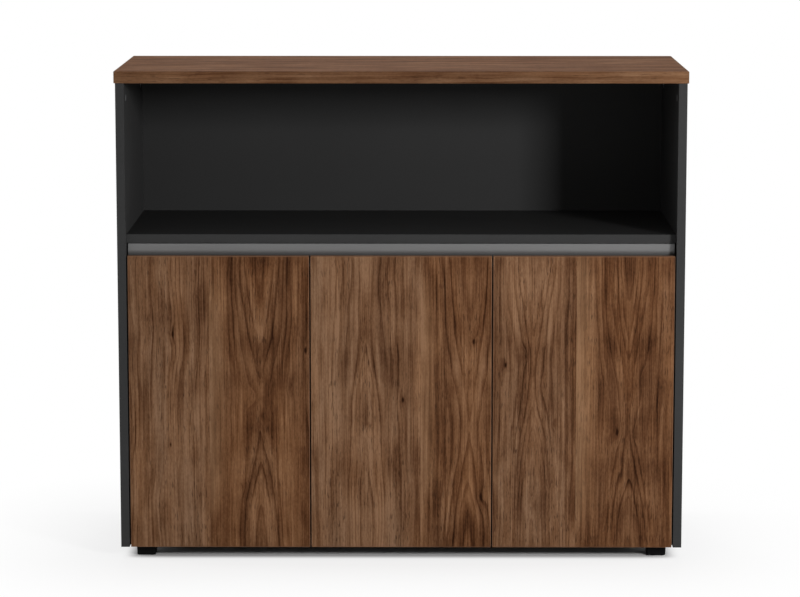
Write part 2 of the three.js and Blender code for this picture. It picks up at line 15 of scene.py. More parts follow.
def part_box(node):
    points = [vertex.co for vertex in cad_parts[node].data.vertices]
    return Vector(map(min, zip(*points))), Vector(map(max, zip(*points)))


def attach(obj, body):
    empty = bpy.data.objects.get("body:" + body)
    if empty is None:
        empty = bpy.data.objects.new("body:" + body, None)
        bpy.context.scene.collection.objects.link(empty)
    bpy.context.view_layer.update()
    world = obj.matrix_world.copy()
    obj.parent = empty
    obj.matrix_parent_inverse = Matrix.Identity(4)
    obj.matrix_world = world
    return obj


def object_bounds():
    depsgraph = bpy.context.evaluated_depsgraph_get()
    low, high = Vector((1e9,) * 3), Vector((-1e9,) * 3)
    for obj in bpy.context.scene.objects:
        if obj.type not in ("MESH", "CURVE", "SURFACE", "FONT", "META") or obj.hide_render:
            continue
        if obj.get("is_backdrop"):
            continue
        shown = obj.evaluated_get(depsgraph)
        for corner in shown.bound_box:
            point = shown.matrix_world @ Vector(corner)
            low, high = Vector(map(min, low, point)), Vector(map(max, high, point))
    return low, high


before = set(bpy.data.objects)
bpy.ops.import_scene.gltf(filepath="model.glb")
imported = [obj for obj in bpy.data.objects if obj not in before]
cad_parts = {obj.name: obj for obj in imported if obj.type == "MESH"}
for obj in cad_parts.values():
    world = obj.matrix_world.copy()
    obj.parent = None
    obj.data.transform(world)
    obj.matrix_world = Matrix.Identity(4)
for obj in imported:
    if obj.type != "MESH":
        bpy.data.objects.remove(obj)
cad_low, cad_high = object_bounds()
scene = bpy.context.scene
scene.view_settings.view_transform = "Standard"
print("the model spans", [round(high - low, 4) for low, high in zip(cad_low, cad_high)])

# %% [markdown]
# A shader is a graph of small nodes, and a wood figure needs a few hundred of them. Placing them by hand
# would hide the idea, so a small class wraps one socket and lets Python's operators add the Math nodes. Any
# other node comes from its `node` method: the settings go in first, then the values or links of the sockets.
# Most of a finish is noise, so a weave keeps the numbers of one noise together: its waves to the metre in two
# directions, a seed that keeps it apart from the others, and how many finer waves ride on it and how strong.

# %% A socket that Python can reckon with
Weave = namedtuple("Weave", "across along seed detail roughness", defaults=(0.5,))


class Field:
    """One value that varies over a surface."""

    def __init__(self, tree, socket=None):
        self.tree = tree
        self.socket = socket

    def node(self, kind, sockets=None, output=0, stops=None, **settings):
        """Adds a node of that type and returns one of its outputs."""
        made = self.tree.nodes.new(kind)
        for name, value in settings.items():
            setattr(made, name, value)
        if stops:
            elements = made.color_ramp.elements
            while len(elements) < len(stops):
                elements.new(1.0)
            for element, (place, colour) in zip(elements, stops):
                element.position = place
                element.color = colour
        for key, value in (sockets or {}).items():
            if isinstance(value, Field):
                self.tree.links.new(value.socket, made.inputs[key])
            else:
                made.inputs[key].default_value = value
        return Field(self.tree, made.outputs[output])

    def math(self, operation, *others):
        """A Math node whose first value is this one."""
        values = dict(enumerate((self,) + others))
        return self.node("ShaderNodeMath", values, operation=operation)

    def __add__(self, other):
        return self.math("ADD", other)

    def __sub__(self, other):
        return self.math("SUBTRACT", other)

    def __rsub__(self, other):
        return self.node("ShaderNodeMath", {0: other, 1: self}, operation="SUBTRACT")

    def __mul__(self, other):
        return self.math("MULTIPLY", other)

    __radd__ = __add__
    __rmul__ = __mul__

    def rise(self, low, high):
        """0 below low, 1 above high, and a smooth step between them."""
        span = {"Value": self, "From Min": low, "From Max": high}
        return self.node("ShaderNodeMapRange", span, interpolation_type="SMOOTHSTEP")

    def hump(self, centre, spread):
        """A smooth hill that is 1 at the centre and fades over the spread."""
        away = (self - centre) * (1 / spread)
        return (away * away * -1.0).math("EXPONENT")

    def noise(self, along, weave, seed=0.0):
        """Cloudy noise between 0 and 1; this value is the place in the weave's first direction."""
        place = self.node(
            "ShaderNodeCombineXYZ",
            {"X": self * weave.across, "Y": along * weave.along, "Z": seed + weave.seed},
        )
        return self.node(
            "ShaderNodeTexNoise",
            {"Vector": place, "Scale": 1.0, "Detail": weave.detail, "Roughness": weave.roughness},
        )

    def sway(self, along, weave, seed=0.0):
        """The same noise about zero, from -0.5 to 0.5."""
        return self.noise(along, weave, seed) - 0.5

    def tint(self, plain, strong):
        """A colour that goes from plain to strong as this value goes from 0 to 1."""
        return self.node("ShaderNodeMix", {0: self, 6: plain, 7: strong}, output=2, data_type="RGBA")


def shade(red, green, blue):
    """A colour as a screen shows it, 0 to 255, in the linear light that shaders reckon in."""
    def linear(level):
        # The numbers are those of the sRGB standard.
        level = level / 255
        return level / 12.92 if level <= 0.04045 else ((level + 0.055) / 1.055) ** 2.4
    return (linear(red), linear(green), linear(blue), 1.0)


def new_finish(name):
    """An empty material, its surface shader, and the surface's own x, y and z."""
    material = bpy.data.materials.new(name)
    material.use_nodes = True
    shader = material.node_tree.nodes["Principled BSDF"]
    place = Field(material.node_tree).node("ShaderNodeTexCoord", output="Object")
    axes = [place.node("ShaderNodeSeparateXYZ", {0: place}, output=axis) for axis in "XYZ"]
    return material, shader, axes


def feed(shader, **links):
    """Links fields to the surface shader's sockets, or sets plain values on them."""
    for name, value in links.items():
        socket = shader.inputs[name.replace("_", " ")]
        if isinstance(value, Field):
            value.tree.links.new(value.socket, socket)
        else:
            socket.default_value = value


def bump(height, depth, strength):
    """A normal that follows a height field; a height of 1 is that deep."""
    return height.node("ShaderNodeBump", {"Strength": strength, "Distance": depth, "Height": height})


print("the shader class is ready")

# %% [markdown]
# Walnut veneer is a thin slice through a trunk. Each growth ring is a nested shell, so a slice near the heart
# shows tall arches, and a slice further out shows straight lines. The figure is therefore one field: the
# distance from the heart, plus a slow lift along the trunk that bends the lines into arches. Light and dark
# bands, late wood, blotches and thin dark contours are all read along that one field, so they follow each
# other as they do in real wood. Strands, fibres, flecks and pores are finer and run straight along the trunk.

# %% The walnut figure
Crest = namedtuple("Crest", "down lift spread")
Spot = namedtuple("Spot", "across down half_width half_height lift shade")
Streak = namedtuple("Streak", "top bottom start end half_width shade")
Leaf = namedtuple("Leaf", "heart crests spots streaks wave lightness")

WANDER = Weave(3.0, 2.2, 0.0, 1.0)            # the heart drifts aside
SWIRL = Weave(9.0, 5.5, 1.7, 1.0)             # the rings bend
RIPPLES = Weave(30.0, 13.0, 3.1, 2.0)         # the rings bend a little
RING = 0.0095                                 # mean width of one growth ring on the face
BOWL = 0.005                                  # how round the tip of an arch is
RIPPLE_REACH = 0.0055                         # how far ripples push the rings aside
ARCH_REACH = 0.055                            # how far from the heart arches fade into straight lines
STREAK_FADE = 0.08                            # the share of the length over which a streak fades out


def spot_mask(spot, across, along, width, length):
    """A soft oval: a knot, an island in the figure or a smoky patch."""
    over_width = across.hump(spot.across * width, spot.half_width)
    return over_width * along.hump(spot.down * length, spot.half_height)


def streak_mask(streak, across, along, width, length):
    """A soft stripe from the top to the bottom of a leaf, or over a part of its length."""
    slope = (streak.bottom - streak.top) * width / length
    aside = across - along * slope
    ends = [
        along.rise((end - STREAK_FADE) * length, (end + STREAK_FADE) * length)
        for end in (streak.start, streak.end)
    ]
    return aside.hump(streak.top * width, streak.half_width) * (ends[0] - ends[1])


def ring_field(leaf, across, along, width, length, seed):
    """How far each point of a leaf lies from the heart, counted across the rings."""
    aside = across - leaf.heart * width + across.sway(along, WANDER, seed) * leaf.wave
    figure = (aside * aside + BOWL * BOWL).math("SQRT")
    figure = figure + across.sway(along, SWIRL, seed) * leaf.wave
    figure = figure + across.sway(along, RIPPLES, seed) * RIPPLE_REACH
    near = aside.hump(0.0, ARCH_REACH)
    for crest in leaf.crests:
        figure = figure + near * along.hump(crest.down * length, crest.spread) * crest.lift
    for spot in leaf.spots:
        figure = figure + spot_mask(spot, across, along, width, length) * spot.lift
    return figure


print("growth rings", RING, "m wide in the mean")

# %% [markdown]
# The figure is a place, not yet a colour. This step turns it into light and dark. Broad differences come
# first, and where they grow too pale they are held back, because fine grain vanishes on wood that is already
# at its palest. Late wood, the dense dark end of a year's growth, is a saw-tooth on the ring field, and it is
# strong only in some patches. Straight strands come last, on pale and dark wood alike.

# %% Light and dark of one leaf
BANDS = Weave(62.0, 1.1, 7.7, 4.0, 0.62)      # pale and dark years
SMOKE = Weave(9.0, 3.6, 23.5, 2.0)            # broad clouds
BLOTCHES = Weave(38.0, 12.0, 25.3, 3.0)       # short clouds along the rings
STRANDS = Weave(170.0, 2.2, 27.1, 3.0, 0.7)   # straight stripes
WOBBLE = Weave(34.0, 1.6, 11.3, 1.0)          # rings of unequal width
PATCHES = Weave(30.0, 3.2, 19.9, 1.0)         # where late wood is strong
CONTOURS = Weave(40.0, 1.6, 29.3, 1.0)        # thin dark lines along the rings
BAND_STRENGTH = 1.00
SMOKE_STRENGTH = 0.42
BLOTCH_STRENGTH = 0.85
STRAND_STRENGTH = 0.76
PALE_LIMIT = 0.86                             # broad tones above this are held back
PALE_SQUEEZE = 0.55                           # the share of the excess that is taken away
RINGS_ASTRAY = 3.2                            # by how many rings the wobble moves a line
LATE_WOOD = (0.45, 0.92)                      # where in a ring the late wood sets in, and is full
LATE_WOOD_ENDS = (0.94, 1.0)
PATCH_EDGE = (0.40, 0.65)
CONTOUR_HALF = 0.09
LATE_IN_PATCH = 0.19
LATE_IN_ARCH = 0.07
LATE_ALL_OVER = 0.03
CONTOUR_IN_PATCH = 0.11
CONTOUR_ALL_OVER = 0.05


def thin_line(cloud, half_width):
    """A line along the zero level of a noise about zero, as a contour runs on a map."""
    return 1 - cloud.math("ABSOLUTE").rise(0.0, half_width)


def leaf_tone(leaf, across, along, width, length, seed):
    """The light and dark of one leaf, and its ring field."""
    figure = ring_field(leaf, across, along, width, length, seed)
    tone = figure.sway(along, BANDS, seed) * BAND_STRENGTH
    tone = tone + across.sway(along, SMOKE, seed) * SMOKE_STRENGTH
    tone = tone + figure.sway(along, BLOTCHES, seed) * BLOTCH_STRENGTH + leaf.lightness
    for spot in leaf.spots:
        tone = tone + spot_mask(spot, across, along, width, length) * spot.shade
    for streak in leaf.streaks:
        tone = tone + streak_mask(streak, across, along, width, length) * streak.shade
    tone = tone - (tone - PALE_LIMIT).math("MAXIMUM", 0.0) * PALE_SQUEEZE

    ring = figure * (1 / RING) + figure.noise(along, WOBBLE, seed) * RINGS_ASTRAY
    ring = ring.math("FRACT")
    late_wood = ring.rise(*LATE_WOOD) * (1 - ring.rise(*LATE_WOOD_ENDS))
    patch = figure.noise(along, PATCHES, seed).rise(*PATCH_EDGE)
    arched = across.hump(leaf.heart * width, ARCH_REACH)
    tone = tone - late_wood * (patch * LATE_IN_PATCH + arched * LATE_IN_ARCH + LATE_ALL_OVER)
    contour = thin_line(figure.sway(along, CONTOURS, seed), CONTOUR_HALF)
    tone = tone - contour * (patch * CONTOUR_IN_PATCH + CONTOUR_ALL_OVER)
    return tone + across.sway(along, STRANDS, seed) * STRAND_STRENGTH, figure


print("broad tones are held back above", PALE_LIMIT)

# %% [markdown]
# A tone becomes a colour through a ramp from almost black to pale brown. Real walnut also changes its hue:
# some leaves are smoky and some are ruddy, so a cast is multiplied over the ramp. Pores are short dark
# scratches that lie in clusters. They are dull under thin lacquer and lie a little deeper than the fibres, so
# they feed the roughness and the height as well.

# %% Colour and skin of walnut
FIBRES = Weave(520.0, 7.0, 31.0, 2.0)
FLECKS = Weave(330.0, 130.0, 33.0, 1.0)
PORES = Weave(430.0, 42.0, 37.0, 1.0)
CLUSTERS = Weave(36.0, 2.6, 41.0, 1.0)        # where pores lie close together
CASTS = Weave(24.0, 3.0, 43.0, 2.0)           # smoky and ruddy clouds
FIBRE_STRENGTH = 0.66
FLECK_STRENGTH = 0.30
PORE_EDGE = (0.57, 0.68)
CLUSTER_EDGE = (0.38, 0.62)
LONE_PORES = 0.3                              # how strong pores are outside the clusters
CAST_SWING = 1.6
PORE_DARKNESS = 0.60

WALNUT_STOPS = [
    (0.00, shade(38, 20, 10)),
    (0.22, shade(70, 43, 26)),
    (0.45, shade(97, 65, 43)),
    (0.66, shade(117, 83, 58)),
    (1.00, shade(148, 112, 84)),
]
SMOKY_CAST = (0.97, 1.02, 1.09, 1.0)
RUDDY_CAST = (1.05, 0.97, 0.87, 1.0)
PORE_SHADE = shade(44, 25, 15)
VENEER_ROUGHNESS = 0.62
PALE_SMOOTHER = 0.10                          # how much smoother pale wood is than dark wood
PORE_ROUGHER = 0.12
FIBRE_HEIGHT = 0.5                            # height of the fibres against the depth of a pore
VENEER_RELIEF = (0.00012, 0.6)                # depth and strength of the bump


def walnut_surface(tone, figure, warmth, across, along, seed, open_grain=1.0):
    """Colour, roughness and height of walnut; warmth is 0 for smoky wood and 1 for ruddy wood."""
    fibre = across.sway(along, FIBRES, seed)
    fleck = across.sway(along, FLECKS, seed)
    cluster = figure.noise(along, CLUSTERS, seed).rise(*CLUSTER_EDGE)
    cluster = cluster * (1 - LONE_PORES) + LONE_PORES
    pores = across.noise(along, PORES, seed).rise(*PORE_EDGE) * cluster * open_grain
    tone = tone + (fibre * FIBRE_STRENGTH + fleck * FLECK_STRENGTH) * open_grain
    colour = tone.node("ShaderNodeValToRGB", {0: tone}, stops=WALNUT_STOPS)
    cast = (figure.sway(along, CASTS, seed) * CAST_SWING + warmth).tint(SMOKY_CAST, RUDDY_CAST)
    colour = tone.node(
        "ShaderNodeMix", {0: 1.0, 6: colour, 7: cast}, output=2, data_type="RGBA", blend_type="MULTIPLY"
    )
    colour = (pores * PORE_DARKNESS).tint(colour, PORE_SHADE)
    roughness = VENEER_ROUGHNESS - tone * PALE_SMOOTHER + pores * PORE_ROUGHER
    height = fibre * FIBRE_HEIGHT - pores
    return colour, roughness, height


print("shades from heartwood to pale wood:", len(WALNUT_STOPS))

# %% [markdown]
# A door is laid up from two leaves of veneer that meet in an upright seam. The three doors come from three
# different places in the trunk, so each has its own leaves: where the heart runs, where the arches turn
# round, and where the knots, smoky patches and pale streaks lie. Places are shares of the door's width from
# its left edge and of its height from its top edge, and the half widths and heights are lengths. A pin knot
# is a small black core in a wider swirl that pushes the rings aside.

# %% The leaves of the three doors
Door = namedtuple("Door", "seam gold left right")

KNOT_CORE = (0.0022, 0.0055)                  # half width and half height
KNOT_SWIRL = (0.0090, 0.0200)
KNOT_LIFT = 0.006                             # how far the swirl pushes the rings aside
BLACK_CORE = -0.75
BROWN_CORE = -0.22
SWIRL_SHADE = -0.10


def knot(across, down, size=1.0, core_shade=BLACK_CORE):
    """A pin knot as two spots: its core and the swirl round it."""
    core = Spot(across, down, KNOT_CORE[0] * size, KNOT_CORE[1] * size, 0.0, core_shade)
    swirl = Spot(across, down, KNOT_SWIRL[0] * size, KNOT_SWIRL[1] * size, KNOT_LIFT * size, SWIRL_SHADE)
    return [core, swirl]


def smudge(across, down, size=1.0):
    """A twig that grew over long ago: the rings swing round it, but its core is only brown."""
    return knot(across, down, size, BROWN_CORE)


DOOR_FIGURES = {
    "left_door": Door(
        seam=0.447,
        gold=Streak(0.450, 0.455, 0.10, 0.85, 0.024, 0.60),
        left=Leaf(
            heart=-0.12,
            crests=[],
            spots=[
                *knot(0.245, 0.265),
                *knot(0.228, 0.645, 0.8),
                *smudge(0.340, 0.570, 1.2),
                Spot(0.330, 0.290, 0.0090, 0.050, 0.000, -0.20),
            ],
            streaks=[
                Streak(0.135, 0.235, 0.15, 0.98, 0.011, 0.20),
                Streak(0.350, 0.360, 0.00, 1.00, 0.0022, -0.14),
                Streak(0.395, 0.390, 0.05, 0.90, 0.0020, -0.14),
                Streak(0.425, 0.425, 0.10, 1.00, 0.0020, -0.12),
            ],
            wave=0.034,
            lightness=0.77,
        ),
        right=Leaf(
            heart=0.73,
            crests=[Crest(0.49, 0.036, 0.20)],
            spots=[
                Spot(0.705, 0.480, 0.014, 0.030, 0.010, 0.16),
                *smudge(0.735, 0.545),
                Spot(0.800, 0.470, 0.008, 0.022, 0.006, -0.12),
                Spot(0.730, 0.000, 0.026, 0.050, 0.000, -0.26),
                *knot(0.980, 0.320),
                *smudge(0.900, 0.440),
                *smudge(0.625, 0.790, 0.8),
            ],
            streaks=[
                Streak(0.790, 0.820, 0.20, 0.42, 0.006, -0.15),
                Streak(0.985, 0.985, 0.00, 1.00, 0.009, -0.18),
            ],
            wave=0.012,
            lightness=0.59,
        ),
    ),
    "middle_door": Door(
        seam=0.608,
        gold=Streak(0.630, 0.635, 0.10, 0.80, 0.020, 0.42),
        left=Leaf(
            heart=0.305,
            crests=[Crest(0.10, 0.034, 0.23)],
            spots=[
                Spot(0.245, 0.050, 0.013, 0.060, 0.000, 0.22),
                Spot(0.318, 0.575, 0.009, 0.007, 0.000, -0.20),
                Spot(0.320, 0.600, 0.008, 0.014, 0.012, 0.08),
                Spot(0.325, 0.720, 0.009, 0.060, 0.004, 0.22),
                Spot(0.470, 0.470, 0.018, 0.060, 0.000, -0.12),
                *knot(0.510, 0.490),
            ],
            streaks=[
                Streak(0.090, 0.080, 0.00, 1.00, 0.030, 0.12),
                Streak(0.490, 0.485, 0.00, 0.75, 0.012, -0.15),
            ],
            wave=0.013,
            lightness=0.81,
        ),
        right=Leaf(
            heart=0.875,
            crests=[Crest(0.59, 0.036, 0.20)],
            spots=[
                *knot(0.545, 0.030),
                *knot(0.900, 0.290),
                *knot(0.945, 0.825, 1.2),
                Spot(0.880, 0.800, 0.010, 0.050, 0.004, 0.20),
            ],
            streaks=[
                Streak(0.600, 0.610, 0.00, 1.00, 0.020, 0.10),
                Streak(0.700, 0.700, 0.00, 1.00, 0.003, -0.14),
                Streak(0.740, 0.745, 0.00, 1.00, 0.002, -0.22),
            ],
            wave=0.012,
            lightness=0.65,
        ),
    ),
    "right_door": Door(
        seam=0.461,
        gold=Streak(0.470, 0.470, 0.00, 0.90, 0.026, 0.75),
        left=Leaf(
            heart=0.225,
            crests=[Crest(0.38, 0.026, 0.19)],
            spots=[
                *smudge(0.180, 0.340),
                Spot(0.170, 0.300, 0.014, 0.070, 0.000, -0.14),
                Spot(0.255, 0.460, 0.015, 0.080, 0.006, 0.20),
                *knot(0.070, 0.370, 0.8),
                Spot(0.340, 0.570, 0.006, 0.014, 0.006, -0.22),
                *smudge(0.230, 0.855, 1.3),
            ],
            streaks=[
                Streak(0.400, 0.405, 0.00, 1.00, 0.0025, -0.12),
                Streak(0.440, 0.440, 0.00, 1.00, 0.0020, -0.12),
            ],
            wave=0.014,
            lightness=0.66,
        ),
        right=Leaf(
            heart=0.750,
            crests=[Crest(0.57, 0.038, 0.21)],
            spots=[
                Spot(0.740, 0.010, 0.020, 0.060, 0.000, -0.26),
                Spot(0.820, 0.400, 0.009, 0.035, 0.004, -0.20),
                Spot(0.790, 0.610, 0.008, 0.022, 0.005, -0.20),
                *knot(0.690, 0.600),
                Spot(0.730, 0.775, 0.011, 0.050, 0.005, 0.22),
            ],
            streaks=[
                Streak(0.910, 0.915, 0.40, 0.75, 0.003, -0.28),
                Streak(0.960, 0.955, 0.10, 0.95, 0.003, -0.20),
            ],
            wave=0.012,
            lightness=0.61,
        ),
    ),
}
spot_count = sum(len(leaf.spots) for door in DOOR_FIGURES.values() for leaf in (door.left, door.right))
print("spots on the three doors:", spot_count)

# %% [markdown]
# At the seam one leaf gives way to the other in a sharp step, and a strip of golden sapwood runs along the
# right leaf. The hue turns more slowly, because the two leaves come from one trunk. Every door edge carries a
# thin band of the same wood, which shows as a paler line round the face. The lacquer is matt, so it mirrors
# very little.

# %% Three walnut doors
FIRST_SEED = 5.0
SEED_STEP = 100.0        # keeps the doors' noises apart
OTHER_LEAF = 50          # keeps the noises of a door's two leaves apart
SEAM_BLUR = 0.0004
SMOKY_LEAF = 0.30
RUDDY_LEAF = 0.80
WARMTH_TURN = 0.035      # the wood turns from smoky to ruddy this far to either side of the seam
GOLD_SHADE = shade(148, 114, 84)
GOLD_LIFT = 0.30         # how much paler the sapwood is
GOLD_TINT = 0.45
BAND_SHADE = shade(146, 110, 86)
BAND_WIDTH = 0.0013
BAND_GRAIN = Weave(900.0, 6.0, 61.0, 2.0)
BAND_LEAST = 0.3         # how strong the band's shade is where its grain is weakest
BAND_SWING = 0.6
LACQUER_GLOSS = 0.03


def door_finish(name, door, seed):
    """The veneer of one door, laid out from its left and top edges."""
    material, shader, (x, _, z) = new_finish("walnut_" + name)
    low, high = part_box(name)
    width = high.x - low.x
    length = high.z - low.z
    across = x - low.x
    along = high.z - z
    left_tone, left_figure = leaf_tone(door.left, across, along, width, length, seed)
    right_tone, right_figure = leaf_tone(door.right, across, along, width, length, seed + OTHER_LEAF)
    seam_place = door.seam * width
    seam = across.rise(seam_place - SEAM_BLUR, seam_place + SEAM_BLUR)
    tone = left_tone + (right_tone - left_tone) * seam
    figure = left_figure + (right_figure - left_figure) * seam
    gold = streak_mask(door.gold, across, along, width, length) * seam * door.gold.shade
    tone = tone + gold * GOLD_LIFT
    turning = across.rise(seam_place - WARMTH_TURN, seam_place + WARMTH_TURN)
    warmth = turning * (RUDDY_LEAF - SMOKY_LEAF) + SMOKY_LEAF
    colour, roughness, height = walnut_surface(tone, figure, warmth, across, along, seed)
    colour = (gold * GOLD_TINT).tint(colour, GOLD_SHADE)
    to_side = across.math("MINIMUM", width - across)
    to_end = along.math("MINIMUM", length - along)
    band = 1 - to_side.math("MINIMUM", to_end).rise(BAND_WIDTH * 0.5, BAND_WIDTH * 1.2)
    grain = across.noise(along, BAND_GRAIN, seed)
    colour = (band * (grain * BAND_SWING + BAND_LEAST)).tint(colour, BAND_SHADE)
    feed(
        shader,
        Base_Color=colour,
        Roughness=roughness,
        Specular_IOR_Level=LACQUER_GLOSS,
        Normal=bump(height, *VENEER_RELIEF),
    )
    return material


def dress(name, material):
    """Gives a solid its finish and leaves its shape alone."""
    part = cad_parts[name]
    part.data.materials.clear()
    part.data.materials.append(material)


for number, (name, door) in enumerate(DOOR_FIGURES.items()):
    dress(name, door_finish(name, door, SEED_STEP * number + FIRST_SEED))
    print(name, "veneered, seam at", door.seam)

# %% [markdown]
# The top is one long sheet of the same walnut with its grain running from side to side, and its edges are
# banded with matching wood. The figure is read along X. Across the grain the sheet is unrolled over the front
# edge: a point on the top counts its distance back from the edge, and a point on the front face counts down
# from it, so the lines on the edge band are level. The bands on the two ends are strips of their own, so
# their figure is read along Y.

# %% The walnut top
TOP_LEAF = Leaf(
    heart=-1.2,
    crests=[],
    spots=[],
    streaks=[
        Streak(0.10, 0.11, 0.00, 1.00, 0.006, -0.16),
        Streak(0.35, 0.33, 0.10, 0.90, 0.010, 0.14),
        Streak(0.62, 0.64, 0.00, 0.70, 0.008, -0.12),
    ],
    wave=0.010,
    lightness=0.53,
)
TOP_SEED = 431.0
TOP_CONTRAST = 0.6       # the top's sheet is calmer than the doors
TOP_GLOSS = 0.004
EDGE_ARCH = Spot(0.86, -0.03, 0.16, 0.012, 0.010, 0.0)
EDGE_PALER = 0.12        # how much paler the banded edge is than the veneer on top
EDGE_DROP = (0.0005, 0.0020)    # how far below the top the veneer ends and the band is full
END_SKIN = (0.0012, 0.0006)     # how far inside the two ends their band starts and is full


def top_finish(seed):
    """Level grain over the top and its edges."""
    material, shader, (x, y, z) = new_finish("walnut_top")
    low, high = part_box("top_panel")
    length = high.x - low.x
    depth = high.y - low.y
    end = x.math("ABSOLUTE").rise(high.x - END_SKIN[0], high.x - END_SKIN[1])
    along = (x - low.x) * (1 - end) + (y - low.y) * end
    across = (y - low.y) * (1 - end) - (high.z - z)
    tone, figure = leaf_tone(TOP_LEAF, across, along, depth, length, seed)
    figure = figure + spot_mask(EDGE_ARCH, along, across, length, depth) * EDGE_ARCH.lift
    tone = (tone - TOP_LEAF.lightness) * TOP_CONTRAST + TOP_LEAF.lightness
    tone = tone + (high.z - z).rise(*EDGE_DROP) * EDGE_PALER
    colour, roughness, height = walnut_surface(tone, figure, SMOKY_LEAF, across, along, seed, TOP_CONTRAST)
    feed(
        shader,
        Base_Color=colour,
        Roughness=roughness,
        Specular_IOR_Level=TOP_GLOSS,
        Normal=bump(height, *VENEER_RELIEF),
    )
    return material


dress("top_panel", top_finish(TOP_SEED))
print("top veneered, streaks:", len(TOP_LEAF.streaks))

# %% [markdown]
# The case is melamine-faced board in graphite: paper under resin, with a fine pearl texture pressed into it.
# A flat grey would look like card, so the tone drifts a little and tiny pits break the gloss. The front edge
# of a board is covered by a band of solid plastic, shown a touch paler than the paper beside it: painted
# light.
# The band is found by its place, so boards whose fronts lie at different depths get a finish each. The shelf
# that is the niche's floor is given a darker grey than the other boards: this is painted shade on its face.

# %% Graphite boards
GRAPHITE = (shade(49, 49, 49), shade(59, 59, 59))
# Painted shade: the darker grey of the niche's floor.
NICHE_PAINTED_SHADE = (shade(38, 38, 38), shade(47, 47, 47))
# Painted light: the front edges get a paler grey, which reaches round their corners as far as EDGE_RIM.
PAINTED_LIGHT_EDGE_BAND = (shade(54, 54, 54), shade(64, 64, 64))
EDGE_RIM = 0.0005        # how far the edge band's own colour reaches round the corner
RESIN_GLOSS = 0.05
RESIN_ROUGHNESS = 0.40
BOARD_CLOUDS = Weave(4.0, 4.0, 3.0, 3.0)
PEARLS_TO_METRE = 900.0
SPECKS_TO_METRE = 260.0
PEARL_RELIEF = (0.00006, 0.5)


def solid_noise(axes, scale, detail):
    """Cloudy noise between 0 and 1 through a whole body, with that many waves to the metre."""
    place = axes[0].node("ShaderNodeCombineXYZ", dict(zip("XYZ", axes)))
    return place.node("ShaderNodeTexNoise", {"Vector": place, "Scale": scale, "Detail": detail})


def graphite_finish(front=None, shades=GRAPHITE):
    """Dark grey board with a fine pressed texture, and a band of painted light on an edge at that depth."""
    material, shader, axes = new_finish("graphite_melamine")
    x, y, z = axes
    cloud = (x + y).noise(z - y, BOARD_CLOUDS)
    pearl = solid_noise(axes, PEARLS_TO_METRE, detail=2.0)
    speckle = solid_noise(axes, SPECKS_TO_METRE, detail=1.0)
    tone = cloud * 0.6 + speckle * 0.5 - 0.05
    colour = tone.tint(*shades)
    if front is not None:
        # Painted light: the front edge at this depth is made paler.
        edge = 1 - y.rise(front + 0.5 * EDGE_RIM, front + 1.5 * EDGE_RIM)
        colour = edge.tint(colour, tone.tint(*PAINTED_LIGHT_EDGE_BAND))
    feed(
        shader,
        Base_Color=colour,
        Roughness=cloud * 0.10 + pearl * 0.12 + RESIN_ROUGHNESS,
        Specular_IOR_Level=RESIN_GLOSS,
        Normal=bump(pearl, *PEARL_RELIEF),
    )
    return material


BANDED_BOARDS = [
    "left_side_panel", "right_side_panel", "bottom_panel", "partition", "wide_shelf", "narrow_shelf",
]
graphite = {}
for name in BANDED_BOARDS:
    front = round(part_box(name)[0].y, 4)
    if front not in graphite:
        graphite[front] = graphite_finish(front)
    dress(name, graphite[front])
# The niche's floor gets a darker grey, which is painted shade.
dress("niche_shelf", graphite_finish(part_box("niche_shelf")[0].y, NICHE_PAINTED_SHADE))
dress("back_panel", graphite_finish())
print("boards that share a finish by depth:", len(BANDED_BOARDS), "in finishes:", len(graphite))

# %% [markdown]
# The finger pull is drawn aluminium, brushed along its length and anodised grey. Brushing leaves hair lines
# that run along X, so the noise is stretched a thousandfold in that direction. Hinges and plates are
# nickelled steel, the cams are cast zinc, and the feet are moulded plastic. Each has its own grain: faint
# rolling marks on the steel, a coarse skin on the casting and a fine spark texture on the plastic.

# %% Metals and plastic
HAIR_LINES = Weave(2.5, 2600.0, 1.0, 3.0, 0.6)
HAIR_DRIFT = Weave(3.0, 40.0, 8.0, 1.0)
HAIR_RELIEF = (0.00003, 0.4)
ANODISED = (shade(95, 95, 95), shade(123, 123, 123))
ANODISED_METAL = 0.2     # the oxide skin is more like a grey paint than a mirror
PLATED_METAL = 0.75
METAL_BUMP = 0.5
SMEAR = 0.07             # waves of a smear to one wave of the grain
PLASTIC = (shade(12, 12, 12), shade(20, 20, 20))
SPARKS_TO_METRE = 1400.0
SCUFFS_TO_METRE = 60.0
SPARK_RELIEF = (0.00005, 0.6)


def brushed_finish():
    """Grey anodised aluminium, brushed along X."""
    material, shader, (x, y, z) = new_finish("grey_anodised_aluminium")
    hair = x.noise(y + z, HAIR_LINES)
    drift = x.noise(y + z, HAIR_DRIFT)
    feed(
        shader,
        Base_Color=(hair * 0.6 + drift * 0.4).tint(*ANODISED),
        Metallic=ANODISED_METAL,
        Roughness=hair * 0.18 + 0.36,
        Normal=bump(hair, *HAIR_RELIEF),
    )
    return material


def metal_finish(name, low, high, scale, roughness, depth):
    """Plated or cast metal with a grain of that scale."""
    material, shader, axes = new_finish(name)
    skin = solid_noise(axes, scale, detail=3.0)
    smear = solid_noise(axes, scale * SMEAR, detail=1.0)
    feed(
        shader,
        Base_Color=(skin * 0.5 + smear * 0.5).tint(low, high),
        Metallic=PLATED_METAL,
        Roughness=smear * 0.14 + skin * 0.10 + roughness,
        Normal=bump(skin, depth, METAL_BUMP),
    )
    return material


def plastic_finish():
    """Black moulded plastic with a fine spark texture."""
    material, shader, axes = new_finish("black_moulded_plastic")
    spark = solid_noise(axes, SPARKS_TO_METRE, detail=2.0)
    scuff = solid_noise(axes, SCUFFS_TO_METRE, detail=3.0)
    feed(
        shader,
        Base_Color=scuff.tint(*PLASTIC),
        Roughness=scuff * 0.2 + 0.42,
        Specular_IOR_Level=RESIN_GLOSS,
        Normal=bump(spark, *SPARK_RELIEF),
    )
    return material


